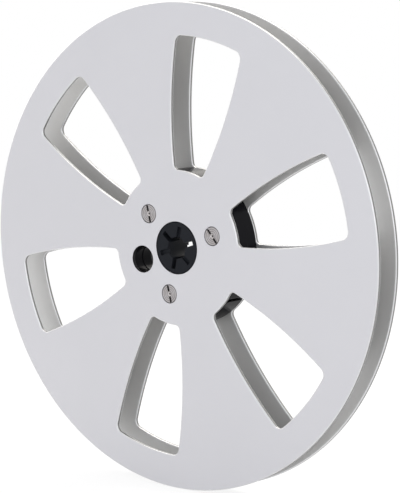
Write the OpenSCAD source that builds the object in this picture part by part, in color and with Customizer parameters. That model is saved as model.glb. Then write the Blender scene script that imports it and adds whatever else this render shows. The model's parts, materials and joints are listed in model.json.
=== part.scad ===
// Tape reel: two spoked metal flanges screwed to a moulded hub, with a spindle bush in the middle.
// The reel stands upright on a level spindle. Y is the spindle's axis, the front faces -Y and Z is up.
// The origin is on the spindle's axis, midway between the flanges.
// Each sub-part is drawn lying down, its axis along Z and its front upwards, and stood up at the end.

/* [Reel] */
// Outside diameter of the flanges
reel_d = 177.8; // [150:0.1:270]
// Space between the flanges, where the tape is wound
tape_gap = 9.1; // [8:0.1:16]
// Angle of the first window above the level, as the reel stands
reel_turn = 18.9; // [0:0.1:60]
// Clearance between pieces that seat in each other
fit_gap = 0.05; // [0.02:0.01:0.1]

/* [Flanges] */
// Thickness of a flange
flange_t = 1.5; // [1.2:0.1:2.5]
// Bevel that breaks the sharp edges of a flange
edge_break = 0.3; // [0.1:0.05:0.4]
// Width of the closed rim outside the windows
rim_w = 12; // [8:0.5:20]

/* [Windows] */
// Number of windows
windows = 6; // [3:1:6]
// Width of a window across its hub end
window_in_w = 13.1; // [8:0.1:18]
// Width of a window across its rim end
window_out_w = 30.4; // [20:0.1:40]
// How far the long sides bow outwards from straight
window_bow = 1.8; // [0.5:0.1:3]
// Radius of the two corners at the hub end
window_in_r = 2; // [1:0.1:3]
// Radius of the two corners at the rim end
window_out_r = 2.8; // [1:0.1:5]

/* [Hub] */
// Diameter of the barrel that the tape is wound on
hub_d = 57; // [52:0.5:70]
// Wall of the barrel
barrel_wall = 2.2; // [1.5:0.1:3]
// Thickness of the web halfway through the hub
web_t = 1.6; // [1:0.1:3]
// Thickness of the radial ribs
rib_t = 1.4; // [0.8:0.1:2.5]
// How far the ribs stay back from the flanges
rib_back = 0.6; // [0.2:0.1:1.5]
// Wall of the tubes round the spindle bush and the finger hole
tube_wall = 1.8; // [1.2:0.1:2.4]
// Wall of the bosses round the inserts
boss_wall = 1.5; // [1:0.1:2]
// Diameter of the finger hole
finger_d = 10; // [7:0.1:11]
// Height of the ridge halfway down the finger hole, where the two halves of the mould meet
ridge_h = 0.25; // [0.1:0.05:0.5]
// Width of that ridge
ridge_w = 0.8; // [0.4:0.1:2]

/* [Tape slit] */
// Width of the slit that holds the end of the tape
slit_w = 1.2; // [0.6:0.1:2.5]
// Angle of the slit from the first window
slit_at = 302; // [290:1:310]
// How far the slit leans from the radius
slit_lean = 35; // [0:1:50]

/* [Spindle bush] */
// Diameter of the bore
bore_d = 8; // [6:0.1:9]
// Diameter of the bush's two ends, which fill the middle of the flanges
bush_d = 19.2; // [17:0.1:22]
// How far the collar between the flanges stands out past the ends
collar_step = 0.6; // [0.4:0.1:1.5]
// Bevel on the rim of each end
bush_bevel = 0.5; // [0.2:0.1:0.8]
// Bevel on the mouths of the bore
bore_bevel = 0.2; // [0.1:0.05:0.4]
// Width of the slots for the spindle's splines
slot_w = 1.8; // [1.2:0.1:2]
// Distance from the axis to the end of a slot
slot_r = 7.9; // [6.5:0.1:8]
// Depth of the blind grooves between the through slots
groove_depth = 1; // [0.5:0.1:2]

/* [Screws and inserts] */
// Diameter of the circle that the screws stand on
screw_circle_d = 35; // [33:0.1:38]
// Diameter of a screw's head
head_d = 7; // [6:0.1:8]
// Straight rim of the head above its cone
head_rim = 0.25; // [0.1:0.05:0.4]
// Outside diameter of the thread
thread_d = 3.5; // [3:0.1:4]
// Width of the driver slot
driver_w = 0.9; // [0.6:0.1:1.2]
// Depth of the driver slot
driver_depth = 0.8; // [0.4:0.1:1]
// Turn of each driver slot from the radius through its screw
driver_turns = [112, 146, 26]; // [0:1:180]
// Outside diameter of an insert
insert_d = 5.6; // [5:0.1:7]
// Length of an insert
insert_l = 3.6; // [3:0.1:3.8]
// How far a screw stops short of its insert's end
screw_short = 0.4; // [0.2:0.1:1]
// Width of the groove that locks an insert in the plastic
lock_w = 0.9; // [0.5:0.1:1.4]
// Depth of that groove
lock_depth = 0.35; // [0.1:0.05:0.5]

/* [Hidden] */
$fn = 144;
SCREWS = 3;

// Cuts run this far past the faces that they open
past = 1;
// Fillets stay this far inside the arcs that they run into, because a true tangent can't be cut cleanly
tangent_gap = 0.01;
rim_r = reel_d / 2;
hub_r = hub_d / 2;
bore_r = bore_d / 2;
bush_r = bush_d / 2;
collar_r = bush_r + collar_step;
finger_r = finger_d / 2;
head_r = head_d / 2;
thread_r = thread_d / 2;
insert_r = insert_d / 2;
screw_circle_r = screw_circle_d / 2;
screw_l = flange_t + insert_l - screw_short;
// Distance of the hub's ends, and of the reel's faces, from the middle
hub_end = tape_gap / 2;
face = hub_end + flange_t;
// Equal steps round the reel
window_step = 360 / windows;
screw_step = 360 / SCREWS;
// The finger hole is opposite the first screw, and its tube touches the spindle bush's tube
finger_at = 180;
finger_place = collar_r + tube_wall + finger_r;

// A window lies along X here: its ends are arcs round the reel's axis, its sides arcs that bow outwards
window_in = hub_r;
window_out = rim_r - rim_w;
in_corner = [sqrt(pow(window_in, 2) - pow(window_in_w / 2, 2)), window_in_w / 2];
out_corner = [sqrt(pow(window_out, 2) - pow(window_out_w / 2, 2)), window_out_w / 2];
chord = out_corner - in_corner;
side_r = pow(norm(chord), 2) / (8 * window_bow) + window_bow / 2;
side_centre = (in_corner + out_corner) / 2 - [-chord.y, chord.x] / norm(chord) * (side_r - window_bow);
// The fillets of its two upper corners: centre, radius and the radius of the end arc that each one meets
fillets = [
    [meet([0, 0], window_in + window_in_r, side_centre, side_r - window_in_r), window_in_r, window_in],
    [meet([0, 0], window_out - window_out_r, side_centre, side_r - window_out_r), window_out_r, window_out],
];

// The point where two circles meet, to the right of the line from the second centre to the first
function meet(c1, r1, c2, r2) =
    let (line = c1 - c2, gap = norm(line), along = (pow(r2, 2) - pow(r1, 2) + pow(gap, 2)) / (2 * gap))
    c2 + (line * along + [line.y, -line.x] * sqrt(pow(r2, 2) - pow(along, 2))) / gap;

// The point of a circle on the line from its centre through another point
function toward(centre, r, point) = centre + (point - centre) * r / norm(point - centre);

// Half the outline of a countersunk screw, hanging from the top of its head, grown by a clearance
function screw_half(grow, above, long) = [
    [0, above], [head_r + grow, above], [head_r + grow, -head_rim],
    [thread_r + grow, -head_rim - (head_r - thread_r)], [thread_r + grow, -long], [0, -long],
];

module stand() {
    rotate([90, 0, 0])
        rotate([0, 0, reel_turn])
            children();
}

module both_sides() {
    children();
    mirror([0, 1, 0]) children();
}

module both_ends() {
    children();
    mirror([0, 0, 1]) children();
}

module round_and_round(step, start = 0) {
    for (angle = [start : step : start + 359])
        rotate([0, 0, angle]) children();
}

// The sector of a window's corner that its fillet replaces, as a prism
module corner_wedge(fillet, high) {
    reach = 3;
    centre = fillet[0];
    on_end = toward([0, 0], fillet[2], centre);
    on_side = toward(side_centre, side_r, centre);
    linear_extrude(high)
        polygon([centre, centre + (on_end - centre) * reach, centre + (on_side - centre) * reach]);
}

// A slice of a window's opening, grown all round by one amount at its foot and another at its top
module window_slice(high, foot = 0, top = 0) {
    difference() {
        intersection() {
            cylinder(h = high, r1 = window_out + foot, r2 = window_out + top);
            translate(side_centre) cylinder(h = high, r1 = side_r + foot, r2 = side_r + top);
            mirror([0, 1, 0])
                translate(side_centre) cylinder(h = high, r1 = side_r + foot, r2 = side_r + top);
        }
        cylinder(h = high, r1 = window_in - foot, r2 = window_in - top);
        both_sides() for (fillet = fillets) corner_wedge(fillet, high);
    }
    both_sides() for (fillet = fillets)
        let (r = fillet[1] - tangent_gap)
            intersection() {
                translate(fillet[0]) cylinder(h = high, r1 = r + foot, r2 = r + top);
                corner_wedge(fillet, high);
            }
}

// A window's opening through a flange, bevelled at both faces
module window() {
    bevel = edge_break + past;
    translate([0, 0, -past]) window_slice(bevel, foot = bevel);
    translate([0, 0, edge_break]) window_slice(flange_t - 2 * edge_break);
    translate([0, 0, flange_t - edge_break]) window_slice(bevel, top = bevel);
}

// A round hole through a flange, bevelled at its outer face
module flange_hole(r) {
    rotate_extrude()
        polygon([
            [0, -past], [r, -past], [r, flange_t - edge_break],
            [r + edge_break + past, flange_t + past], [0, flange_t + past],
        ]);
}

// The hole that a screw leaves in what it passes through, hanging from the top of its head
module screw_hole() {
    rotate_extrude() polygon(screw_half(fit_gap, past, screw_l + insert_l));
}

// A flange lies on its inner face
module flange() {
    difference() {
        rotate_extrude()
            polygon([
                [0, 0], [rim_r - edge_break, 0], [rim_r, edge_break],
                [rim_r, flange_t - edge_break], [rim_r - edge_break, flange_t], [0, flange_t],
            ]);
        flange_hole(bush_r + fit_gap);
        rotate([0, 0, finger_at]) translate([finger_place, 0, 0]) flange_hole(finger_r);
        round_and_round(screw_step) translate([screw_circle_r, 0, flange_t]) screw_hole();
        round_and_round(window_step) window();
    }
}

module front_flange() {
    color("silver") stand() translate([0, 0, hub_end]) flange();
}

module rear_flange() {
    color("silver") stand() mirror([0, 0, 1]) translate([0, 0, hub_end]) flange();
}

// A straight piece of the hub between two radii, standing on edge
module rib(from, to) {
    high = tape_gap - 2 * rib_back;
    translate([from, -rib_t / 2, -high / 2]) cube([to - from, rib_t, high]);
}

// The hub's barrel, web, ribs, tubes and bosses before anything is bored in them
module hub_body() {
    in_barrel = hub_r - barrel_wall / 2;
    difference() {
        cylinder(h = tape_gap, r = hub_r, center = true);
        cylinder(h = tape_gap + 2 * past, r = hub_r - barrel_wall, center = true);
    }
    cylinder(h = web_t, r = in_barrel, center = true);
    cylinder(h = tape_gap, r = collar_r + tube_wall, center = true);
    round_and_round(window_step, window_step / 2) rib(collar_r + tube_wall / 2, in_barrel);
    round_and_round(screw_step) {
        translate([screw_circle_r, 0, 0]) cylinder(h = tape_gap, r = insert_r + boss_wall, center = true);
        rib(collar_r + tube_wall / 2, in_barrel);
    }
    rotate([0, 0, finger_at]) {
        translate([finger_place, 0, 0]) cylinder(h = tape_gap, r = finger_r + tube_wall, center = true);
        rib(finger_place, in_barrel);
    }
}

module hub() {
    color("#151517") stand() difference() {
        hub_body();
        cylinder(h = tape_gap + 2 * past, r = collar_r + fit_gap, center = true);
        rotate([0, 0, finger_at]) translate([finger_place, 0, 0]) {
            cylinder(h = tape_gap + 2 * past, r = finger_r - ridge_h, center = true);
            both_ends() translate([0, 0, ridge_w / 2]) cylinder(h = hub_end + past, r = finger_r);
        }
        round_and_round(screw_step) both_ends()
            translate([screw_circle_r, 0, hub_end - insert_l - fit_gap])
                cylinder(h = insert_l + past, r = insert_r + fit_gap);
        rotate([0, 0, slit_at]) translate([hub_r - barrel_wall / 2, 0, 0]) rotate([0, 0, slit_lean])
            cube([3 * barrel_wall, slit_w, tape_gap + 2 * past], center = true);
    }
}

// The bush is turned with a collar that the flanges trap, bored, and slotted from both ends
module spindle_bush() {
    color("#2b2d30") stand() difference() {
        both_ends() rotate_extrude()
            polygon([
                [bore_r, 0], [bore_r, face - bore_bevel], [bore_r + bore_bevel, face],
                [bush_r - bush_bevel, face], [bush_r, face - bush_bevel],
                [bush_r, hub_end], [collar_r, hub_end], [collar_r, 0],
            ]);
        round_and_round(screw_step)
            translate([0, -slot_w / 2, -face - past]) cube([slot_r, slot_w, 2 * (face + past)]);
        round_and_round(screw_step, screw_step / 2) both_ends()
            translate([0, -slot_w / 2, face - groove_depth]) cube([slot_r, slot_w, groove_depth + past]);
    }
}

// A slotted countersunk screw, standing in its hole in the front flange
module screw(k) {
    color("gainsboro") rotate([0, 0, k * screw_step]) translate([screw_circle_r, 0, face]) difference() {
        rotate_extrude() polygon(screw_half(0, 0, screw_l));
        rotate([0, 0, driver_turns[k]])
            translate([-head_d, -driver_w / 2, -driver_depth]) cube([2 * head_d, driver_w, driver_depth + past]);
    }
}

module front_screw(k) {
    stand() screw(k);
}

module rear_screw(k) {
    stand() mirror([0, 0, 1]) screw(k);
}

// A threaded insert, flush with the front end of its boss and coned to clear the screw's head
module insert(k) {
    lock_low = (insert_l - lock_w) / 2;
    lock_high = (insert_l + lock_w) / 2;
    lock_r = insert_r - lock_depth;
    color("goldenrod") rotate([0, 0, k * screw_step]) translate([screw_circle_r, 0, 0]) difference() {
        translate([0, 0, hub_end - insert_l]) rotate_extrude()
            polygon([
                [0, 0], [insert_r, 0], [insert_r, lock_low], [lock_r, lock_low],
                [lock_r, lock_high], [insert_r, lock_high], [insert_r, insert_l], [0, insert_l],
            ]);
        translate([0, 0, face]) screw_hole();
    }
}

module front_insert(k) {
    stand() insert(k);
}

module rear_insert(k) {
    stand() mirror([0, 0, 1]) insert(k);
}

front_flange();
rear_flange();
hub();
spindle_bush();
for (k = [1 : SCREWS]) {
    front_screw(k - 1);
    rear_screw(k - 1);
    front_insert(k - 1);
    rear_insert(k - 1);
}
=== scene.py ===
# %% [markdown]
# A tape reel, dressed for its picture.
# The reel is two flat metal flanges screwed to a moulded hub, with a black bush for the deck's spindle
# in the middle. The frame holds its solids at their real size. The pieces that show are made again
# here, finer, over those solids, because a render shows the roundness of an edge that a solid can leave
# out.

# %% Load the frame
import json
import math

import bmesh
import bpy
from mathutils import Matrix, Vector

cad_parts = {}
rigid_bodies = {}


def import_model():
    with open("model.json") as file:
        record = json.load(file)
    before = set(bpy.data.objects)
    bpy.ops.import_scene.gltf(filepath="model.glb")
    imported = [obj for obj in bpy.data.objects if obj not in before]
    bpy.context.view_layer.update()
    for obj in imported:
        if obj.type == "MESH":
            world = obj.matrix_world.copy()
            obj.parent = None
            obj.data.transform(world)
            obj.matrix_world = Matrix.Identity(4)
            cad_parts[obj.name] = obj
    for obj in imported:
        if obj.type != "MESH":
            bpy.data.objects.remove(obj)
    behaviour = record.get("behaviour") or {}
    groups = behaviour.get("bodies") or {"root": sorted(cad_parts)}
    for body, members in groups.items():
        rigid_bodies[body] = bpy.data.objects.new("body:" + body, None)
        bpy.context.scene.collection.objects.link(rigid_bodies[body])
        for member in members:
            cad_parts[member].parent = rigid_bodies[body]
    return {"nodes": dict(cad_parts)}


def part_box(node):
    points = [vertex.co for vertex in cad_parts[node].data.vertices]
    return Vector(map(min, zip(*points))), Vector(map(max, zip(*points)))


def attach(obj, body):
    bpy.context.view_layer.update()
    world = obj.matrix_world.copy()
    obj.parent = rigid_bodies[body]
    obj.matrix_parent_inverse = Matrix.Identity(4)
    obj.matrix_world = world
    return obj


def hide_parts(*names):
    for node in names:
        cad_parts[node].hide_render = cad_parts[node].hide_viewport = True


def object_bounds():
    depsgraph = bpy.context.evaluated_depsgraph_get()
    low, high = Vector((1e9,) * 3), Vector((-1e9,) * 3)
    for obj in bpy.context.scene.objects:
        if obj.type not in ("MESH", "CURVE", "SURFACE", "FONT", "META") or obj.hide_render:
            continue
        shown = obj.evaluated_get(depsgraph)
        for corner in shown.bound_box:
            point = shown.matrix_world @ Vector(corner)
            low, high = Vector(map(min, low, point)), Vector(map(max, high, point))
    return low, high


for leftover in list(bpy.data.objects):
    bpy.data.objects.remove(leftover)
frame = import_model()
cad_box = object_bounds()
MM = 0.001
TURN = math.tau
print("nodes in the frame:", len(frame["nodes"]))

# %% [markdown]
# The camera stands where the photographer stood. An object photographed through a long lens keeps its
# shape, so the lens matters as much as the place. The reel is a circle of a known size, and the ellipse
# that it makes in the picture fixes the place, the direction and the lens together. The small shift
# says that the picture was cropped.

# %% Place the camera
# In pixels: the picture's size, the focal length, and where the lens's axis meets the picture
PHOTO = (400, 493)
FOCAL_PX = 2237.3
LENS_AXIS_PX = (197.0, 221.95)
CAMERA_AT = (0.5152, -0.6219, 0.1105)
LOOKS_ALONG = Vector((-0.6295, 0.7669, -0.1248))
FARTHEST_SEEN = 50
camera_data = bpy.data.cameras.new("camera")
camera = bpy.data.objects.new("camera", camera_data)
bpy.context.scene.collection.objects.link(camera)
camera_data.sensor_width = 36
camera_data.lens = FOCAL_PX / max(PHOTO) * camera_data.sensor_width
camera_data.shift_x = (PHOTO[0] / 2 - LENS_AXIS_PX[0]) / max(PHOTO)
camera_data.shift_y = (LENS_AXIS_PX[1] - PHOTO[1] / 2) / max(PHOTO)
camera_data.clip_end = FARTHEST_SEEN
camera.location = CAMERA_AT
camera.rotation_euler = LOOKS_ALONG.to_track_quat("-Z", "Y").to_euler()
bpy.context.scene.camera = camera
print(f"camera: {camera_data.lens:.0f} mm lens, {camera.location.length / MM:.0f} mm from the middle")

# %% [markdown]
# Nodes are easier to read as Python than as lists of links. A Wire wraps one socket, and sums and
# products of wires and numbers add Math nodes. A Board writes any other node: the first dictionary
# holds the settings that the node needs before its sockets are right, then come the values of its
# sockets, in order or by name.

# %% Write node trees as expressions
class Wire:
    """An output socket, on which arithmetic adds Math nodes."""

    def __init__(self, board, socket):
        self.board = board
        self.socket = socket

    def other(self, name):
        """Another output of the same node."""
        return Wire(self.board, self.socket.node.outputs[name])

    def math(self, operation, *values):
        """A Math node whose first value is this wire."""
        return self.board.add("ShaderNodeMath", {"operation": operation}, self, *values)

    def math_from(self, value, operation):
        """A Math node whose first value is a number and whose second is this wire."""
        return self.board.add("ShaderNodeMath", {"operation": operation}, value, self)

    def __add__(self, value):
        return self.math("ADD", value)

    def __sub__(self, value):
        return self.math("SUBTRACT", value)

    def __mul__(self, value):
        return self.math("MULTIPLY", value)

    def __truediv__(self, value):
        return self.math("DIVIDE", value)

    def __radd__(self, value):
        return self.math_from(value, "ADD")

    def __rsub__(self, value):
        return self.math_from(value, "SUBTRACT")

    def __rmul__(self, value):
        return self.math_from(value, "MULTIPLY")

    def __rtruediv__(self, value):
        return self.math_from(value, "DIVIDE")

    def __neg__(self):
        return self.math("MULTIPLY", -1)


class Board:
    """A node tree that is written one call for each node."""

    def __init__(self, tree):
        self.tree = tree

    def add(self, kind, settings=None, *values, **named):
        """A new node, as a wire from its first open output."""
        node = self.tree.nodes.new(kind)
        for name, value in (settings or {}).items():
            setattr(node, name, value)
        open_inputs = [socket for socket in node.inputs if socket.enabled]
        for socket, value in zip(open_inputs, values):
            self.feed(socket, value)
        for name, value in named.items():
            words = name.replace("_", " ").lower()
            self.feed(next(s for s in open_inputs if s.name.lower() == words), value)
        return Wire(self, next((s for s in node.outputs if s.enabled), None))

    def feed(self, socket, value):
        if isinstance(value, Wire):
            self.tree.links.new(value.socket, socket)
        elif value is not None:
            socket.default_value = value


print("a Wire and a Board are ready")

# %% [markdown]
# The picture has a white studio round it. More light would bleach the reel's pale metal, so the white
# is in the background's own colour, and the light that it throws is softer. Polished metal shows its
# surroundings, so the rays that bounce off metal see the same white as the camera does.

# %% Make the background
def only_seen(board):
    """1 for the camera and for what shines or lets light through, 0 for soft light."""
    path = board.add("ShaderNodeLightPath")
    seen = path.other("Is Camera Ray") + path.other("Is Glossy Ray") + path.other("Is Transmission Ray")
    return seen.math("MINIMUM", 1)


def studio_world(soft_light):
    world = bpy.data.worlds.new("studio")
    world.use_nodes = True
    world.node_tree.nodes.clear()
    board = Board(world.node_tree)
    white = board.add("ShaderNodeBackground", None, color=(1, 1, 1, 1), strength=1)
    soft = board.add("ShaderNodeBackground", None, color=soft_light, strength=1)
    surface = board.add("ShaderNodeMixShader", None, only_seen(board), soft, white)
    board.add("ShaderNodeOutputWorld", None, surface=surface)
    return world


bpy.context.scene.view_settings.view_transform = "Standard"
bpy.context.scene.world = studio_world(soft_light=(0.75, 0.765, 0.80, 1))
print("background:", bpy.context.scene.world.name)

# %% [markdown]
# The floor is pale paper that takes the reel's shadow. It shows the camera mostly plain white near the
# reel, and nothing but white further off, so that it runs into the background without a line.

# %% Lay the floor
def studio_floor(low, size, colour, white, fade):
    """Paper that shows the camera this share of white near the reel, and only white where the fade ends."""
    mesh = bpy.data.meshes.new("floor")
    corners = [(-size, -size, low), (size, -size, low), (size, size, low), (-size, size, low)]
    mesh.from_pydata(corners, [], [(0, 1, 2, 3)])
    floor = bpy.data.objects.new("floor", mesh)
    bpy.context.scene.collection.objects.link(floor)
    material = bpy.data.materials.new("white floor")
    material.use_nodes = True
    material.node_tree.nodes.clear()
    board = Board(material.node_tree)
    paper = board.add("ShaderNodeBsdfDiffuse", None, color=colour)
    glow = board.add("ShaderNodeEmission", None, color=(1, 1, 1, 1), strength=1)
    where = board.add("ShaderNodeTexCoord").other("Object")
    distance = board.add("ShaderNodeVectorMath", {"operation": "LENGTH"}, where)
    share = board.add("ShaderNodeMapRange", None, distance, *fade, white, 1.0)
    surface = board.add("ShaderNodeMixShader", None, only_seen(board) * share, paper, glow)
    board.add("ShaderNodeOutputMaterial", None, surface=surface)
    mesh.materials.append(material)


studio_floor(low=cad_box[0].z, size=20, colour=(0.93, 0.93, 0.93, 1), white=0.85, fade=(0.12, 0.7))
print(f"floor: {-cad_box[0].z / MM:.1f} mm under the spindle's axis")

# %% [markdown]
# The lamps are large and far away, because a small near lamp burns a white patch into a flat satin face
# in some views. The key and front lamps light the face, the front one a little blue. The others hang
# above, behind and at the left, a little warm. The difference is what parts the face from the hollows
# behind it.

# %% Hang the lamps
WHITE = (1, 1, 1)
COOL = (0.8, 0.88, 1)
WARM = (1, 0.96, 0.9)


def lamp(name, place, size, power, colour):
    """A soft square lamp that points at the middle of the reel."""
    data = bpy.data.lights.new(name, "AREA")
    data.size = size
    data.energy = power
    data.color = colour
    light = bpy.data.objects.new(name, data)
    light.location = place
    light.rotation_euler = (-light.location).to_track_quat("-Z", "Y").to_euler()
    bpy.context.scene.collection.objects.link(light)


lamp("key_lamp", (1.0, -0.8, 0.42), size=0.8, power=4, colour=WHITE)
lamp("front_lamp", (-0.2, -1.4, 0.05), size=0.7, power=1.5, colour=COOL)
lamp("top_lamp", (-0.3, 0.3, 1.2), size=1.0, power=8, colour=WARM)
lamp("back_lamp", (-0.3, 1.0, 1.0), size=1.2, power=13, colour=WARM)
lamp("left_lamp", (-0.9, 0.2, 0.5), size=1.0, power=6, colour=WARM)

# %% [markdown]
# Every finish here is one Principled shader. What is the same all over is set on the shader's own
# sockets, and what varies is a noise over the piece, at the size of the real grain. A noise reads the
# piece's own coordinates, so it stays on the metal when the reel is seen from elsewhere. Where a
# surface differs from the rest of its piece, the piece carries a mark, which is an attribute from 0 to
# 1 that the material mixes by.

# %% Share what every finish needs
def principled(name, **constants):
    """A new material with one shader, whose plain values are set, its board and the shader's sockets."""
    material = bpy.data.materials.new(name)
    material.use_nodes = True
    material.node_tree.nodes.clear()
    board = Board(material.node_tree)
    shader = board.add("ShaderNodeBsdfPrincipled", None, **constants)
    board.add("ShaderNodeOutputMaterial", None, surface=shader)
    return material, board, shader.socket.node.inputs


def place_on_piece(board):
    return board.add("ShaderNodeTexCoord").other("Object")


def noise(board, where, size, detail=2, roughness=0.5):
    """A noise from 0 to 1 whose patches are about this many metres across."""
    return board.add(
        "ShaderNodeTexNoise", {"noise_dimensions": "3D"}, vector=where, scale=1 / size, detail=detail,
        roughness=roughness,
    )


def mark_on_piece(board, name):
    """A mark from 0 to 1 that the piece carries."""
    return board.add("ShaderNodeAttribute", {"attribute_name": name}).other("Fac")


def tint(board, factor, dark, light):
    """A mix of two colours. The first may also be a wire, so that one mix can follow another."""
    start = dark if isinstance(dark, Wire) else (*dark, 1)
    return board.add("ShaderNodeMix", {"data_type": "RGBA"}, factor=factor, a=start, b=(*light, 1))


def bump(board, height, strength, distance):
    return board.add("ShaderNodeBump", None, strength=strength, distance=distance, height=height)


print("ready to mix finishes")

# %% [markdown]
# The flanges are aluminium that was blasted to a fine grain and anodised. Its colour is nearly even, so
# what makes it real is small: a faint cloudiness, the grain in the bump, and the edges. It is burnished on
# the roundings of its edges, which a tool rubbed bright. Three more marks are painted: the inner face is a
# little warmer, a painted tint for the light that bounces between the flanges, the flat walls between the
# roundings are darker with painted shade, and the walls of the two round holes are made nearly black.

# %% Make the metal of the flanges
# The colour of the metal where the piece carries each mark
MARKED_METAL = {
    # Painted light: the inner face is tinted for the colour of the light that bounces between the flanges
    "sheltered": (0.604, 0.603, 0.6),
    "burnished": (0.64, 0.64, 0.65),
    # Painted shade on the flat walls of the rim and the windows, which are also rougher
    "cut": (0.21, 0.21, 0.205),
    # The walls of the two round holes, made nearly black
    "stained": (0.03, 0.03, 0.032),
}


def anodised_aluminium(dark, light, gloss):
    material, board, shader = principled("anodised aluminium", metallic=0.65)
    where = place_on_piece(board)
    marks = {name: mark_on_piece(board, name) for name in MARKED_METAL}
    cloud = noise(board, where, size=35 * MM, detail=3)
    grain = noise(board, where, size=0.22 * MM, detail=4, roughness=0.7)
    rubbed = noise(board, where, size=6 * MM, detail=5, roughness=0.6)
    colour = tint(board, cloud * 0.7 + grain * 0.3, dark, light)
    # Each mark lays its colour over the metal: a painted tint of bounced light on the inner face, painted
    # shade on the flat walls, nearly black on the round holes' walls, and burnished metal on the roundings
    for name, shade in MARKED_METAL.items():
        colour = tint(board, marks[name], colour, shade)
    board.feed(shader["Base Color"], colour)
    uneven = rubbed * 0.08 + grain * 0.05
    board.feed(shader["Roughness"], gloss + uneven + marks["cut"] * 0.1 - marks["burnished"] * 0.08)
    board.feed(shader["Normal"], bump(board, grain + rubbed * 0.4, strength=0.25, distance=0.004 * MM))
    return material


ALUMINIUM = anodised_aluminium(dark=(0.581, 0.577, 0.602), light=(0.611, 0.607, 0.632), gloss=0.33)
print("metal of the flanges:", ALUMINIUM.name, "with", list(MARKED_METAL))

# %% [markdown]
# The hub is glossy black plastic and the bush is satin black plastic. Black plastic is never quite
# black or quite even: moulding leaves faint waves in its gloss, the mould's own roughness is copied as
# fine specks, and handling rubs some places lighter than others.

# %% Make the black plastics
RUBBED_LIGHTER = 1.6


def black_plastic(name, colour, gloss, sheen, texture):
    """texture is the size of the mould's own roughness, which the plastic copies."""
    material, board, shader = principled(name, ior=1.46, specular_ior_level=sheen)
    where = place_on_piece(board)
    wave = noise(board, where, size=9 * MM, detail=2)
    speck = noise(board, where, size=texture, detail=4, roughness=0.65)
    rubbed = tuple(part * RUBBED_LIGHTER for part in colour)
    board.feed(shader["Base Color"], tint(board, wave * 0.5 + speck * 0.5, colour, rubbed))
    board.feed(shader["Roughness"], gloss + wave * 0.08 + speck * 0.08)
    board.feed(shader["Normal"], bump(board, speck + wave * 2, strength=0.3, distance=0.006 * MM))
    return material


HUB_PLASTIC = black_plastic(
    "glossy black plastic", colour=(0.004, 0.004, 0.005), gloss=0.12, sheen=0.05, texture=0.5 * MM
)
BUSH_PLASTIC = black_plastic(
    "satin black plastic", colour=(0.008, 0.009, 0.0115), gloss=0.42, sheen=0.1, texture=0.2 * MM
)
print("plastics:", [m.name for m in (HUB_PLASTIC, BUSH_PLASTIC)])

# %% [markdown]
# The screws are plated with nickel and the inserts are brass, both fresh from a lathe. Such metal mirrors
# the white studio, so shading alone hardly shows a fine ring or a sawn slot in it. So shade is painted into
# the grooves of the screws: the pieces are marked there, and the mark makes the metal darker and duller.

# %% Make the turned metals
# How much painted shade lies in the rings of a screw's head, and how much it darkens the metal
RING_SHADE_SHARE = 0.75
PAINTED_SHADE_DARKNESS = 0.4


def turned_metal(name, dark, light, gloss):
    """Metal from a lathe, with painted shade, darker and duller, where the piece is marked as a groove, and
    less so in its rings.
    """
    material, board, shader = principled(name, metallic=1.0)
    where = place_on_piece(board)
    groove, ring = mark_on_piece(board, "groove"), mark_on_piece(board, "ring")
    # Painted shade in the grooves, which also makes the metal duller
    painted_shade = groove.math("MAXIMUM", ring * RING_SHADE_SHARE)
    tarnish = noise(board, where, size=1.6 * MM, detail=4, roughness=0.6)
    grain = noise(board, where, size=0.09 * MM, detail=3)
    unshaded = tint(board, tarnish * 0.8 + grain * 0.2, dark, light)
    shaded_colour = tuple(part * PAINTED_SHADE_DARKNESS for part in dark)
    board.feed(shader["Base Color"], tint(board, painted_shade, unshaded, shaded_colour))
    board.feed(shader["Roughness"], gloss + tarnish * 0.12 + painted_shade * 0.3)
    board.feed(shader["Normal"], bump(board, grain + tarnish, strength=0.3, distance=0.004 * MM))
    return material


NICKEL = turned_metal("nickel plate", dark=(0.41, 0.389, 0.392), light=(0.56, 0.531, 0.53), gloss=0.22)
BRASS = turned_metal("turned brass", dark=(0.62, 0.44, 0.17), light=(0.78, 0.60, 0.28), gloss=0.22)
print("turned metals:", [m.name for m in (NICKEL, BRASS)])

# %% [markdown]
# A flange, its screws and their inserts each follow a rule, so Geometry Nodes make them. A tree's sizes
# are inputs with names, so that one tree makes the front piece and, turned over, the rear one. The
# finished mesh is taken from the evaluated object, and the modifier goes with the object that carried
# it.

# %% Turn a node tree into a piece
SOCKET_KINDS = {
    float: "NodeSocketFloat",
    int: "NodeSocketInt",
    bpy.types.Material: "NodeSocketMaterial",
}


def new_tree(name, inputs):
    """A Geometry Nodes tree with an input of each name, its board, and a wire from each input."""
    tree = bpy.data.node_groups.new(name, "GeometryNodeTree")
    tree.interface.new_socket("Geometry", in_out="INPUT", socket_type="NodeSocketGeometry")
    tree.interface.new_socket("Geometry", in_out="OUTPUT", socket_type="NodeSocketGeometry")
    for word, value in inputs.items():
        tree.interface.new_socket(word, in_out="INPUT", socket_type=SOCKET_KINDS[type(value)])
    board = Board(tree)
    entry = board.add("NodeGroupInput")
    return tree, board, {word: entry.other(word) for word in ["Geometry", *inputs]}


def set_inputs(modifier, values):
    """Sets a modifier's inputs by their sockets' identifiers, before the object is first evaluated."""
    for item in modifier.node_group.interface.items_tree:
        if item.item_type == "SOCKET" and item.in_out == "INPUT" and item.name in values:
            modifier[item.identifier] = values[item.name]


def show(name, mesh):
    mesh.name = name
    piece = bpy.data.objects.new(name, mesh)
    bpy.context.scene.collection.objects.link(piece)
    return piece


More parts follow.
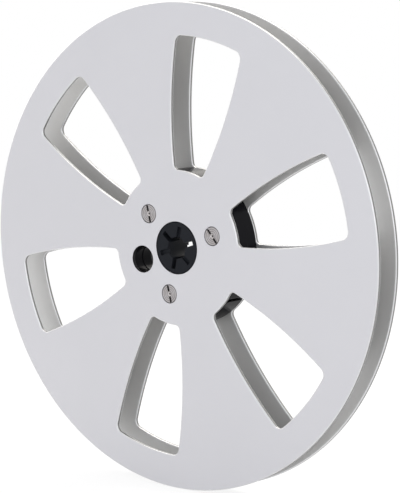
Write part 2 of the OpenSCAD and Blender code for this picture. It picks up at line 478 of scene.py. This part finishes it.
def grow(name, tree, values, start_mesh=None):
    """The plain mesh that a tree makes, of a starting mesh or of nothing, as a new object at the origin."""
    start = start_mesh or bpy.data.meshes.new(name + "_start")
    carrier = bpy.data.objects.new(name + "_carrier", start)
    bpy.context.scene.collection.objects.link(carrier)
    modifier = carrier.modifiers.new(tree.name, "NODES")
    modifier.node_group = tree
    set_inputs(modifier, values)
    evaluated = carrier.evaluated_get(bpy.context.evaluated_depsgraph_get())
    mesh = bpy.data.meshes.new_from_object(evaluated)
    carrier.modifiers.clear()
    bpy.data.objects.remove(carrier)
    return show(name, mesh)


print("ready to grow pieces")

# %% [markdown]
# Each finished piece rides on the reel's one body and replaces its solids. A surface with a gap in it, or
# one that faces inwards, still renders well, so the piece is measured too: a closed piece has no open edge,
# and one that faces outwards has a volume above nought.

# %% Measure a piece and put it on the reel
def report(piece):
    """Says how big a piece is, and whether its surface is closed and faces outwards."""
    work = bmesh.new()
    work.from_mesh(piece.data)
    loose = sum(len(edge.link_faces) != 2 for edge in work.edges)
    volume = work.calc_volume(signed=True) / MM**3
    print(f"{piece.name}: {len(work.faces)} faces, {volume:.1f} mm3, {loose} open edges")
    work.free()


def dress(piece, slot, *nodes):
    """Puts a finished piece on the reel in place of its solids."""
    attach(piece, "root")
    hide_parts(*nodes)
    report(piece)


print("ready to dress the reel")

# %% [markdown]
# Every tree needs the same few moves: spread something round the axis, sweep an edge's outline along a
# curve, mark a surface and its creases, and stand the finished piece up. Pieces are made lying down,
# with the reel's axis along Z and the front upwards, and stood up at the end. The rear pieces are the
# front ones turned over about the middle line of the first window.

# %% Share the moves
REEL_TURN = math.radians(18.9)
CREASE = math.radians(28)
JOIN = 0.002 * MM


def moved(board, thing, x=0.0, y=0.0, z=0.0):
    offset = board.add("ShaderNodeCombineXYZ", None, x, y, z)
    return board.add("GeometryNodeTransform", None, geometry=thing, translation=offset)


def turned(board, thing, x=0.0, y=0.0, z=0.0):
    angles = board.add("ShaderNodeCombineXYZ", None, x, y, z)
    return board.add("GeometryNodeTransform", None, geometry=thing, rotation=angles)


def joined(board, *things):
    join = board.add("GeometryNodeJoinGeometry")
    for thing in things:
        board.feed(join.socket.node.inputs[0], thing)
    return join


def merged(board, thing):
    """Points that touch become one point, which closes the surface."""
    return board.add("GeometryNodeMergeByDistance", None, geometry=thing, distance=JOIN)


def shaded(board, thing, smooth, domain="FACE", where=None):
    return board.add(
        "GeometryNodeSetShadeSmooth", {"domain": domain}, geometry=thing, selection=where,
        shade_smooth=smooth,
    )


def marked(board, thing, name, value=1.0, domain="FACE"):
    """Puts a mark from 0 to 1 on a surface, which its material reads."""
    return board.add(
        "GeometryNodeStoreNamedAttribute", {"data_type": "FLOAT", "domain": domain},
        geometry=thing, name=name, value=value,
    )


def round_the_axis(board, thing, count, radius=0.0, height=0.0, own_turn=0.0):
    """Copies of a thing at equal steps round Z, each of which may also turn about itself."""
    step = board.add("GeometryNodeInputIndex") / count * TURN
    x, y = radius * step.math("COSINE"), radius * step.math("SINE")
    place = board.add("ShaderNodeCombineXYZ", None, x, y, height)
    spots = board.add("GeometryNodePoints", None, count=count, position=place)
    facing = board.add("ShaderNodeCombineXYZ", None, z=step + own_turn)
    copies = board.add("GeometryNodeInstanceOnPoints", None, points=spots, instance=thing, rotation=facing)
    return board.add("GeometryNodeRealizeInstances", None, copies)


def circle(board, radius, points):
    return board.add("GeometryNodeCurvePrimitiveCircle", None, resolution=points, radius=radius)


def line(board, start, end):
    """A straight stretch of an edge's outline, each end given as its distance outwards and its height."""
    ends = [board.add("ShaderNodeCombineXYZ", None, out, -high) for out, high in (start, end)]
    return board.add("GeometryNodeCurvePrimitiveLine", None, start=ends[0], end=ends[1])


def swept(board, along, *outline):
    """A surface with this outline along a curve. It faces outwards, as outlines run from the top down."""
    surface = board.add("GeometryNodeCurveToMesh", None, along, joined(board, *outline))
    return shaded(board, surface, smooth=True)


def finished(board, thing, over, material):
    """The last steps of each tree: merged, creased, stood up, realized and given its material."""
    angle = board.add("GeometryNodeInputMeshEdgeAngle")
    sharp = angle.math("GREATER_THAN", CREASE)
    creased = shaded(board, merged(board, thing), smooth=False, domain="EDGE", where=sharp)
    stood = turned(board, turned(board, creased, x=over), x=math.pi / 2, y=-REEL_TURN)
    real = board.add("GeometryNodeRealizeInstances", None, stood)
    board.add("NodeGroupOutput", None, board.add("GeometryNodeSetMaterial", None, real, material=material))


print("shared moves are ready")

# %% [markdown]
# A window lies along X: its two ends are arcs round the reel's axis, its sides are long arcs that bow
# outwards, and its four corners are rounded. Drawn by hand this would be a list of points that nobody
# can change. Here each corner's centre is worked out as the point where two circles meet, and each
# stretch is an arc about its centre.

# %% Draw one window
# The ends are measured from the axis, and their widths before the corners are rounded
INNER_END_R = 28.5 * MM
OUTER_END_R = 76.9 * MM
INNER_END_WIDTH = 13.1 * MM
OUTER_END_WIDTH = 30.4 * MM
SIDE_BOW = 1.8 * MM
INNER_CORNER_R = 2.0 * MM
OUTER_CORNER_R = 2.8 * MM
FLAT_ENOUGH = 0.002 * MM
AXIS = Vector((0, 0))


def on_circle(radius, width):
    """The point of a circle round the axis at half this width above the middle line."""
    return Vector((math.sqrt(radius**2 - width**2 / 4), width / 2))


def meet(c1, r1, c2, r2):
    """Where two circles meet, to the right of the line from the second centre to the first."""
    gap = c1 - c2
    along = (r2**2 - r1**2 + gap.length_squared) / (2 * gap.length)
    aside = Vector((gap.y, -gap.x)) * math.sqrt(r2**2 - along**2)
    return c2 + (gap * along + aside) / gap.length


def arc(centre, start, end):
    """Points from start towards end round a centre, close enough to look round, without the end itself."""
    spoke, last = start - centre, end - centre
    sweep = math.atan2(spoke.cross(last), spoke.dot(last))
    widest = 2 * math.acos(1 - FLAT_ENOUGH / spoke.length)
    steps = math.ceil(abs(sweep) / widest)
    return [centre + Matrix.Rotation(sweep * i / steps, 2) @ spoke for i in range(steps)]


def window_outline():
    """The closed outline of a window, clockwise, as a mesh of edges."""
    low, high = on_circle(INNER_END_R, INNER_END_WIDTH), on_circle(OUTER_END_R, OUTER_END_WIDTH)
    chord = high - low
    side_r = chord.length_squared / (8 * SIDE_BOW) + SIDE_BOW / 2
    side_centre = (low + high) / 2 - Vector((-chord.y, chord.x)).normalized() * (side_r - SIDE_BOW)
    in_centre = meet(AXIS, INNER_END_R + INNER_CORNER_R, side_centre, side_r - INNER_CORNER_R)
    out_centre = meet(AXIS, OUTER_END_R - OUTER_CORNER_R, side_centre, side_r - OUTER_CORNER_R)
    on_in = in_centre.normalized() * INNER_END_R
    on_out = out_centre.normalized() * OUTER_END_R
    side_in = side_centre + (in_centre - side_centre).normalized() * side_r
    side_out = side_centre + (out_centre - side_centre).normalized() * side_r
    half = [
        *arc(AXIS, Vector((INNER_END_R, 0)), on_in),
        *arc(in_centre, on_in, side_in),
        *arc(side_centre, side_in, side_out),
        *arc(out_centre, side_out, on_out),
        *arc(AXIS, on_out, Vector((OUTER_END_R, 0))),
    ]
    points = half + [Vector((OUTER_END_R, 0))] + [Vector((p.x, -p.y)) for p in reversed(half[1:])]
    mesh = bpy.data.meshes.new("window")
    edges = [(i, (i + 1) % len(points)) for i in range(len(points))]
    mesh.from_pydata([(p.x, p.y, 0) for p in points], edges, [])
    return mesh


WINDOW = window_outline()
print(f"one window: {len(WINDOW.vertices)} points")

# %% [markdown]
# A flange is a sheet with holes. A boolean cut would do it, but would leave hard edges that a bevel has
# trouble rounding. So the sheet is built as a cutter leaves it: each outline is a curve, an edge with
# rounded corners is swept along it, and the two faces are filled between the outlines, drawn back by
# the radius of the rounding. Curves run so that their normal points away from the metal, clockwise
# round each hole.

# %% Cut holes, round edges and fill faces
ROUND_POINTS = 720
HOLE_POINTS = 144
EDGE_POINTS = 5


def hole(board, radius, x=0.0):
    rim = moved(board, circle(board, radius, HOLE_POINTS), x=x)
    return board.add("GeometryNodeReverseCurve", None, rim)


def drawn_back(board, curve, amount):
    """A curve moved into the metal by this much."""
    normal = board.add("GeometryNodeInputNormal")
    offset = board.add("ShaderNodeVectorMath", {"operation": "SCALE"}, normal, scale=-amount)
    return board.add("GeometryNodeSetPosition", None, geometry=curve, offset=offset)


def rounding(board, radius, high, start):
    """A quarter of a circle that ends an edge, with its centre at this height."""
    corner = board.add(
        "GeometryNodeCurveArc", {"mode": "RADIUS"}, resolution=EDGE_POINTS, radius=radius,
        start_angle=start, sweep_angle=TURN / 4,
    )
    return moved(board, corner, x=-radius, y=-high)


def face(board, high, *curves):
    """The flat face between these curves, at this height."""
    filled = board.add("GeometryNodeFillCurve", {"mode": "TRIANGLES"}, joined(board, *curves))
    return moved(board, shaded(board, filled, smooth=False), z=high)


print("a sheet's holes, edges and faces can be made")

# %% [markdown]
# The flange has two sorts of edge. The rim and the windows have a soft edge at both faces, and the two
# round holes a crisp one at the outer face alone. The seats of the screws are cones, wide at the outer
# face and narrow at the inner one. Most strips of edge carry a mark, so that one material gives each
# its own look.

# %% Write the tree of a flange
FRONT_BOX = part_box("front_flange")
FLANGE_THICKNESS = FRONT_BOX[1].y - FRONT_BOX[0].y
HUB_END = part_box("hub")[1].y
SCREWS = 3
SCREW_CIRCLE_R = 17.5 * MM
FLANGE_SIZES = {
    "Rim radius": FRONT_BOX[1].x,
    "Thickness": FLANGE_THICKNESS,
    "Height": HUB_END,
    "Edge radius": 0.38 * MM,
    "Windows": 6,
    "Hole edge radius": 0.12 * MM,
    "Bush hole radius": 9.65 * MM,
    "Finger hole radius": 5 * MM,
    "Finger hole place": -17.0 * MM,
    "Screws": SCREWS,
    "Screw circle radius": SCREW_CIRCLE_R,
    "Seat radius": 3.55 * MM,
    "Seat rim": 0.25 * MM,
    "Turned over": 0.0,
    "Metal": ALUMINIUM,
}


def flange_tree():
    tree, board, size = new_tree("Flange", FLANGE_SIZES)
    thick, soft, crisp = size["Thickness"], size["Edge radius"], size["Hole edge radius"]
    cone = thick - size["Seat rim"]

    window = board.add("GeometryNodeMeshToCurve", None, size["Geometry"])
    rim = circle(board, size["Rim radius"], ROUND_POINTS)
    rim_and_windows = joined(board, rim, round_the_axis(board, window, size["Windows"]))
    finger_hole = hole(board, size["Finger hole radius"], size["Finger hole place"])
    holes = joined(board, hole(board, size["Bush hole radius"]), finger_hole)
    seat = hole(board, size["Seat radius"], size["Screw circle radius"])
    seats = round_the_axis(board, seat, size["Screws"])

    top = rounding(board, soft, thick - soft, -TURN / 4)
    bottom = rounding(board, soft, soft, 0.0)
    wall = line(board, (0.0, thick - soft), (0.0, soft))
    hole_wall = line(board, (0.0, thick - crisp), (0.0, 0.0))
    edges = joined(
        board,
        marked(board, swept(board, rim_and_windows, top, bottom), "burnished"),
        # The flat walls of the rim and the windows carry a painted shade
        marked(board, swept(board, rim_and_windows, wall), "cut"),
        swept(board, holes, rounding(board, crisp, thick - crisp, -TURN / 4)),
        # The walls of the round holes are made nearly black
        marked(board, swept(board, holes, hole_wall), "stained"),
        swept(board, seats, line(board, (0.0, thick), (0.0, cone)), line(board, (0.0, cone), (cone, 0.0))),
    )

    outlines = drawn_back(board, rim_and_windows, soft)
    front_face = face(board, thick, outlines, drawn_back(board, holes, crisp), seats)
    back_face = face(board, 0.0, outlines, holes, drawn_back(board, seats, -cone))
    # The inner face carries a painted tint for the light that bounces between the flanges
    inner_face = marked(board, board.add("GeometryNodeFlipFaces", None, back_face), "sheltered")
    plate = moved(board, joined(board, edges, front_face, inner_face), z=size["Height"])
    finished(board, plate, size["Turned over"], size["Metal"])
    return tree


FLANGE_TREE = flange_tree()
print("flange tree:", len(FLANGE_TREE.nodes), "nodes")

# %% [markdown]
# Both flanges come from this one tree. The windows, the screws and the finger hole lie on the line that
# the rear flange is turned over about, or in pairs on both sides of it, so that they line up through
# the reel.

# %% Grow both flanges
front_plate = grow("front_plate", FLANGE_TREE, FLANGE_SIZES, WINDOW)
rear_plate = grow("rear_plate", FLANGE_TREE, {**FLANGE_SIZES, "Turned over": math.pi}, WINDOW)
dress(front_plate, "flange", "front_flange")
dress(rear_plate, "flange", "rear_flange")

# %% [markdown]
# The hub and the bush keep the shape of their solids. A solid arrives as loose triangles with hard
# edges, so a copy is merged, its flat faces are made whole again, and a narrow bevel rounds every sharp
# edge. That is how a moulded piece differs from a drawn one: no corner of it is quite sharp, and each
# one carries a thin line of light.

# %% Soften the moulded pieces
FLAT_ANGLE = math.radians(0.5)


def moulded(name, node, material, radius):
    """A merged copy of a solid, with its sharp edges rounded by a live bevel."""
    mesh = frame["nodes"][node].data.copy()
    if "custom_normal" in mesh.attributes:
        mesh.attributes.remove(mesh.attributes["custom_normal"])
    work = bmesh.new()
    work.from_mesh(mesh)
    bmesh.ops.remove_doubles(work, verts=work.verts, dist=JOIN)
    bmesh.ops.dissolve_limit(work, angle_limit=FLAT_ANGLE, verts=work.verts, edges=work.edges)
    for polygon in work.faces:
        polygon.smooth = True
    for rim in work.edges:
        rim.smooth = rim.calc_face_angle(0) < CREASE
    work.to_mesh(mesh)
    work.free()
    mesh.materials.clear()
    mesh.materials.append(material)
    piece = show(name, mesh)
    bevel = piece.modifiers.new("rounded edges", "BEVEL")
    bevel.width = radius
    bevel.segments = 3
    bevel.limit_method = "ANGLE"
    bevel.angle_limit = CREASE
    bevel.harden_normals = True
    return piece


dress(moulded("hub_moulding", "hub", HUB_PLASTIC, radius=0.12 * MM), "hub", "hub")
bush = moulded("bush_moulding", "spindle_bush", BUSH_PLASTIC, radius=0.1 * MM)
dress(bush, "spindle_bush", "spindle_bush")

# %% [markdown]
# Screws and inserts come from a lathe, so an outline is swept round a circle, and the rest is done by
# moving points of that round body. A thread is a wave on a round wall that climbs by one pitch each
# turn. Each wave works only on the points of its own wall, and fades out before the wall's ends, so the
# body stays closed.

# %% Write the lathe's moves
def lathe(board, points, radius, *outline):
    """A closed round body. The outline's distances are measured outwards from this radius."""
    return merged(board, swept(board, circle(board, radius, points), *outline))


def divided(board, curve, count):
    return board.add("GeometryNodeResampleCurve", {"mode": "COUNT"}, curve, count=count)


def polar(board):
    """Each point's distance from the Z axis, angle round it in turns, and height."""
    place = board.add("ShaderNodeSeparateXYZ", None, board.add("GeometryNodeInputPosition"))
    x, y, z = place, place.other("Y"), place.other("Z")
    return (x * x + y * y).math("SQRT"), y.math("ARCTAN2", x) / TURN, z


def held(wire, low, high):
    """The value, kept between two limits."""
    return wire.math("MAXIMUM", low).math("MINIMUM", high)


def on_wall(board, wall_r, top, bottom, fade):
    """1 on the points of a round wall between two heights, fading out at both ends, and 0 elsewhere."""
    radius, _, high = polar(board)
    near = radius.math("COMPARE", wall_r, JOIN)
    return near * held((top - high) / fade, 0, 1) * held((high - bottom) / fade, 0, 1)


def carved(board, body, inwards):
    """Moves each point of a round body towards its axis by its own amount."""
    _, angle, _ = polar(board)
    around = angle * TURN
    x, y = -inwards * around.math("COSINE"), -inwards * around.math("SINE")
    move = board.add("ShaderNodeCombineXYZ", None, x, y, 0.0)
    return board.add("GeometryNodeSetPosition", None, geometry=body, offset=move)


def thread(board, pitch):
    """A wave from 0 to 1 that climbs by one pitch each turn, the way of a right-hand screw."""
    _, angle, high = polar(board)
    return (high / pitch - angle).math("PINGPONG", 0.5) * 2


print("the lathe is ready")

# %% [markdown]
# The head of each screw is turned flat, so the tool leaves fine rings on it, and its edge is broken, where
# painted shade draws a dark ring that parts it from the flange. The slot is sawn in two halves that stop at
# a small dished stud. The slot and the broken edge carry a mark of painted shade, and the rings and the
# stud's centre a second, lighter one. The three screws of the front were each stopped at their own angle,
# as the picture shows.

# %% Choose the sizes of a screw
THREAD_PITCH = 0.6 * MM
SCREW_TURNS = {
    "First turn": math.radians(112),
    "Second turn": math.radians(146),
    "Third turn": math.radians(26),
}
SCREW_SIZES = {
    "Screws": SCREWS,
    "Screw circle radius": SCREW_CIRCLE_R,
    "Face height": HUB_END + FLANGE_THICKNESS,
    "Head radius": 3.5 * MM,
    "Head rim": 0.25 * MM,
    "Thread radius": 1.75 * MM,
    "Thread depth": 0.28 * MM,
    "Thread pitch": THREAD_PITCH,
    "Length": 4.7 * MM,
    "Tip": 0.3 * MM,
    "Ring pitch": 0.72 * MM,
    "Ring depth": 0.08 * MM,
    "Dish radius": 0.85 * MM,
    "Dish depth": 0.3 * MM,
    "Centre radius": 0.3 * MM,
    "Centre depth": 0.5 * MM,
    "Slot width": 0.9 * MM,
    "Slot depth": 0.8 * MM,
    **SCREW_TURNS,
    "Turned over": 0.0,
    "Metal": NICKEL,
}
SCREW_POINTS = 96
HEAD_RINGS = 90
THREAD_ROWS = 8
STUD_POINTS = 48
STUD_TO_DISH = 1.1
print(f"a screw: {SCREW_SIZES['Length'] / MM:.1f} mm long")

# %% Turn and saw one screw
def threaded_screw(board, size):
    """The round body of a screw with its thread, and a mark of painted shade on the broken edge of its
    head.
    """
    head, rim, shank_r = size["Head radius"], size["Head rim"], size["Thread radius"]
    length, tip, pitch = size["Length"], size["Tip"], size["Thread pitch"]
    under_head = rim + head - shank_r
    rows = (length - tip - under_head) / pitch * THREAD_ROWS
    shank, point = shank_r - head, shank_r - head - tip
    broken_edge = lathe(board, SCREW_POINTS, head, line(board, (-rim, 0.0), (0.0, -rim)))
    body = lathe(
        board, SCREW_POINTS, head,
        divided(board, line(board, (-head, 0.0), (-rim, 0.0)), HEAD_RINGS),
        line(board, (0.0, -rim), (shank, -under_head)),
        divided(board, line(board, (shank, -under_head), (shank, tip - length)), rows),
        line(board, (shank, tip - length), (point, -length)),
        line(board, (point, -length), (-head, -length)),
    )
    # The broken edge carries painted shade, a dark ring round the head
    whole = merged(board, joined(board, body, marked(board, broken_edge, "groove")))
    on_shank = on_wall(board, shank_r, -under_head, tip - length, pitch)
    return carved(board, whole, thread(board, pitch) * on_shank * size["Thread depth"])


def turned_head(board, size, screw):
    """The screw with rings, a dish and a centre sunk into its head, and a mark of painted shade in the
    rings' hollows and the centre.
    """
    radius, _, high = polar(board)
    dish = size["Dish radius"]
    wave = (1 - (radius / size["Ring pitch"] * TURN).math("COSINE")) * 0.5
    bowl = (1 - radius * radius / (dish * dish)).math("MAXIMUM", 0.0)
    centre = radius.math("LESS_THAN", size["Centre radius"])
    on_top = high.math("GREATER_THAN", -JOIN)
    # Painted shade in the hollows of the rings and in the centre hole
    painted_shade = (wave * radius.math("GREATER_THAN", dish) + centre) * on_top
    sunk = wave * size["Ring depth"] + bowl * size["Dish depth"] + centre * size["Centre depth"]
    drop = board.add("ShaderNodeCombineXYZ", None, z=-sunk * on_top)
    with_ring_shade = marked(board, screw, "ring", painted_shade, domain="POINT")
    return board.add("GeometryNodeSetPosition", None, geometry=with_ring_shade, offset=drop)


def cut_away(board, body, cutter):
    exactly = {"operation": "DIFFERENCE", "solver": "EXACT"}
    return board.add("GeometryNodeMeshBoolean", exactly, body, cutter)


def sawn(board, size, screw):
    """The screw with a slot across its head, which the stud interrupts, and a mark of painted shade in the
    slot.
    """
    head, width, depth = size["Head radius"], size["Slot width"], size["Slot depth"]
    blade = board.add("ShaderNodeCombineXYZ", None, head * 4, width, depth * 2)
    # The saw's faces, and so the slot's walls, carry painted shade
    saw = marked(board, board.add("GeometryNodeMeshCube", None, size=blade), "groove")
    stud_r = size["Dish radius"] * STUD_TO_DISH
    stud = board.add("GeometryNodeMeshCylinder", None, vertices=STUD_POINTS, radius=stud_r, depth=head * 2)
    return cut_away(board, screw, cut_away(board, saw, stud))


def stopped_at(board, size):
    """The angle at which each screw was stopped."""
    number = board.add("GeometryNodeInputIndex")
    choice = board.add("GeometryNodeIndexSwitch", {"data_type": "FLOAT"}, number)
    switch = choice.socket.node
    switch.index_switch_items.new()
    for socket, turn in zip(switch.inputs[1:], SCREW_TURNS):
        board.feed(socket, size[turn])
    return choice


def screw_tree():
    tree, board, size = new_tree("Screws", SCREW_SIZES)
    screw = sawn(board, size, turned_head(board, size, threaded_screw(board, size)))
    screws = round_the_axis(
        board, screw, size["Screws"], size["Screw circle radius"], size["Face height"],
        own_turn=stopped_at(board, size),
    )
    finished(board, screws, size["Turned over"], size["Metal"])
    return tree


SCREW_TREE = screw_tree()
print("screw tree:", len(SCREW_TREE.nodes), "nodes")

# %% [markdown]
# The inserts hold the screws' threads in the soft plastic. Two knurled bands that lean opposite ways
# keep an insert from turning, and the groove between them keeps it from pulling out. Its bore has the
# screw's thread. A knurl is a wave too, with one tooth after another round the wall, and it leans
# because its place also depends on the height.

# %% Choose the sizes of an insert
INSERT_SIZES = {
    "Inserts": SCREWS,
    "Screw circle radius": SCREW_CIRCLE_R,
    "Height": HUB_END,
    "Radius": 2.8 * MM,
    "Length": 3.6 * MM,
    "Groove radius": 2.45 * MM,
    "Groove top": 1.35 * MM,
    "Groove bottom": 2.25 * MM,
    "Bore radius": 1.8 * MM,
    "Mouth radius": 2.3 * MM,
    "Thread depth": 0.25 * MM,
    "Thread pitch": THREAD_PITCH,
    "Teeth": 30,
    "Tooth depth": 0.2 * MM,
    "Tooth lean": 3.0 * MM,
    "Turned over": 0.0,
    "Metal": BRASS,
}
INSERT_POINTS = 240
BAND_ROWS = 9
print(f"an insert: {INSERT_SIZES['Length'] / MM:.1f} mm long, with {INSERT_SIZES['Teeth']} teeth")

# %% Turn and knurl one insert
def knurl(board, teeth, lean):
    """A wave from 0 to 1 with this many teeth, which leans by one tooth in this height."""
    _, angle, high = polar(board)
    return (angle * teeth + high / lean).math("PINGPONG", 0.5) * 2


def threaded_insert(board, size):
    """The round body of an insert with a thread in its bore."""
    outer, length, pitch = size["Radius"], size["Length"], size["Thread pitch"]
    top, bottom, neck = -size["Groove top"], -size["Groove bottom"], size["Groove radius"] - outer
    bore, mouth = size["Bore radius"], size["Mouth radius"]
    bore_wall, dip = bore - outer, bore - mouth
    rows = (length + dip) / pitch * THREAD_ROWS
    body = lathe(
        board, INSERT_POINTS, outer,
        line(board, (mouth - outer, 0.0), (0.0, 0.0)),
        divided(board, line(board, (0.0, 0.0), (0.0, top)), BAND_ROWS),
        line(board, (0.0, top), (neck, top)),
        line(board, (neck, top), (neck, bottom)),
        line(board, (neck, bottom), (0.0, bottom)),
        divided(board, line(board, (0.0, bottom), (0.0, -length)), BAND_ROWS),
        line(board, (0.0, -length), (bore_wall, -length)),
        divided(board, line(board, (bore_wall, -length), (bore_wall, dip)), rows),
        line(board, (bore_wall, dip), (mouth - outer, 0.0)),
    )
    in_bore = on_wall(board, bore, dip, -length, pitch)
    return carved(board, body, thread(board, pitch) * in_bore * -size["Thread depth"])


def knurled(board, size, insert):
    """The insert with teeth on both of its bands."""
    outer, deep = size["Radius"], size["Tooth depth"]
    teeth, lean = size["Teeth"], size["Tooth lean"]
    top, bottom = -size["Groove top"], -size["Groove bottom"]
    upper = on_wall(board, outer, 0.0, top, deep) * knurl(board, teeth, lean)
    lower = on_wall(board, outer, bottom, -size["Length"], deep) * knurl(board, teeth, -lean)
    return carved(board, insert, (upper + lower) * deep)


def insert_tree():
    tree, board, size = new_tree("Inserts", INSERT_SIZES)
    insert = knurled(board, size, threaded_insert(board, size))
    inserts = round_the_axis(
        board, insert, size["Inserts"], size["Screw circle radius"], size["Height"]
    )
    finished(board, inserts, size["Turned over"], size["Metal"])
    return tree


INSERT_TREE = insert_tree()
print("insert tree:", len(INSERT_TREE.nodes), "nodes")

# %% [markdown]
# The rear screws and inserts are the front ones turned over as well. A screw that is turned over has
# its slot at the opposite angle, and the second and third screws change places. So the angles are
# changed too, and each rear slot runs in line with the one in front of it.

# %% Grow the screws and the inserts
over = {"Turned over": math.pi}
rear_turns = {
    "First turn": -SCREW_TURNS["First turn"],
    "Second turn": -SCREW_TURNS["Third turn"],
    "Third turn": -SCREW_TURNS["Second turn"],
}
for side, screw_changes, insert_changes in (("front", {}, {}), ("rear", {**over, **rear_turns}, over)):
    screws = grow(f"{side}_screws", SCREW_TREE, {**SCREW_SIZES, **screw_changes})
    dress(screws, "screw", *(f"{side}_screw_{k + 1}" for k in range(SCREWS)))
    inserts = grow(f"{side}_inserts", INSERT_TREE, {**INSERT_SIZES, **insert_changes})
    dress(inserts, "insert", *(f"{side}_insert_{k + 1}" for k in range(SCREWS)))

# %% Finish
print("the reel is dressed")
